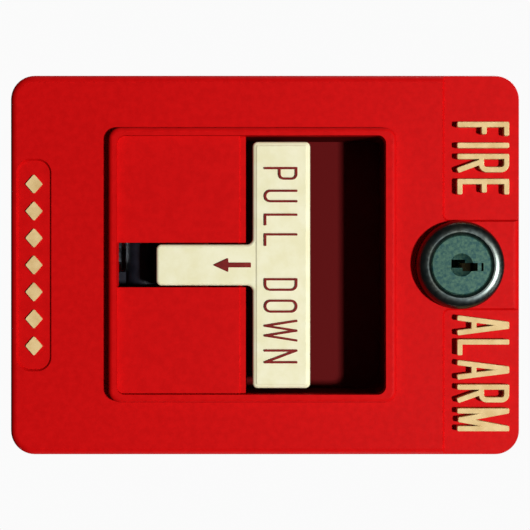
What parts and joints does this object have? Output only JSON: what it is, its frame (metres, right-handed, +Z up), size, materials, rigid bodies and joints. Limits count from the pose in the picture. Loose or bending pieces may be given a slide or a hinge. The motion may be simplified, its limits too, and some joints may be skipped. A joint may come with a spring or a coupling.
{
  "type": "manual fire alarm station",
  "caption": "Wall-mounted manual fire alarm station: hinged front cover with a framed window, T-shaped pull handle, key lock, switch and wall plate.",
  "frame": {"origin": "on the wall, midway between the two box-mounting holes", "axes": "+Z up the wall, +X to the viewer's right, +Y into the wall; the front faces -Y"},
  "size_m": [0.0952, 0.0254, 0.1268],
  "materials": {
    "cover_red": "fine moulded texture, satin",
    "handle_ivory": "satin moulded plastic",
    "lettering_cream": "stamped cream faces",
    "print_red": "matt dark red print",
    "lever_black": "matt black moulding",
    "bezel_metal": "dull dark chrome",
    "plug_metal": "mottled worn steel",
    "brass": "bright brass",
    "zinc_steel": "bright zinc plate",
    "spring_steel": "blued spring steel",
    "block_black": "moulded phenolic",
    "switch_grey": "moulded phenolic",
    "plunger_white": "smooth",
    "lead_red": "PVC insulation",
    "lead_dark": "PVC insulation",
    "earth_green": "green dyed zinc"
  },
  "bodies": {
    "wall_plate": {"back_plate": "zinc_steel", "lock_catch": "zinc_steel", "catch_rivets": "zinc_steel", "hinge_rod": "zinc_steel", "hinge_rod_clips": "spring_steel", "switch_case": "switch_grey", "switch_screws": "zinc_steel", "terminal_block": "block_black", "terminal_cages": "brass", "terminal_screws": "zinc_steel", "upper_lead": "lead_red", "lower_lead": "lead_dark", "earth_washer": "brass", "earth_screw": "earth_green"},
    "cover": {"front_cover": "cover_red", "left_lettering": "lettering_cream", "right_lettering": "lettering_cream", "badge_lozenges": "lettering_cream", "lock_barrel": "bezel_metal", "lock_washer": "spring_steel", "lock_nut": "zinc_steel", "lever_pin": "zinc_steel", "lever_pin_clip": "spring_steel", "hold_spring": "spring_steel", "hold_spring_screw": "zinc_steel"},
    "pull_lever": {"pull_handle": "handle_ivory", "pull_lettering": "print_red", "pull_arrow": "print_red", "lever_arm": "lever_black", "handle_screws": "zinc_steel"},
    "lock_core": {"lock_plug": "plug_metal", "lock_wafers": "brass", "plug_clip": "spring_steel", "lock_cam": "zinc_steel", "cam_washer": "zinc_steel", "cam_screw": "zinc_steel"},
    "plunger": {"switch_plunger": "plunger_white"}
  },
  "joints": [
    {"name": "cover_hinge", "type": "hinge", "parent": "wall_plate", "child": "cover", "pos_m": [0, -0.0036, -0.0603], "axis": [1, 0, 0], "range_deg": [0, 88]},
    {"name": "lever_hinge", "type": "hinge", "parent": "cover", "child": "pull_lever", "pos_m": [0, -0.0105, -0.031], "axis": [1, 0, 0], "range_deg": [0, 25]},
    {"name": "lock_turn", "type": "hinge", "parent": "cover", "child": "lock_core", "pos_m": [0, -0.021, 0.0475], "axis": [0, -1, 0], "range_deg": [0, 90]},
    {"name": "plunger_slide", "type": "slide", "parent": "wall_plate", "child": "plunger", "axis": [0, 1, 0], "range_m": [0, 0.0025]}
  ],
  "couplings": [
    {"joint": "plunger_slide", "follows": "lever_hinge", "m_per_rad": 0.0056}
  ]
}
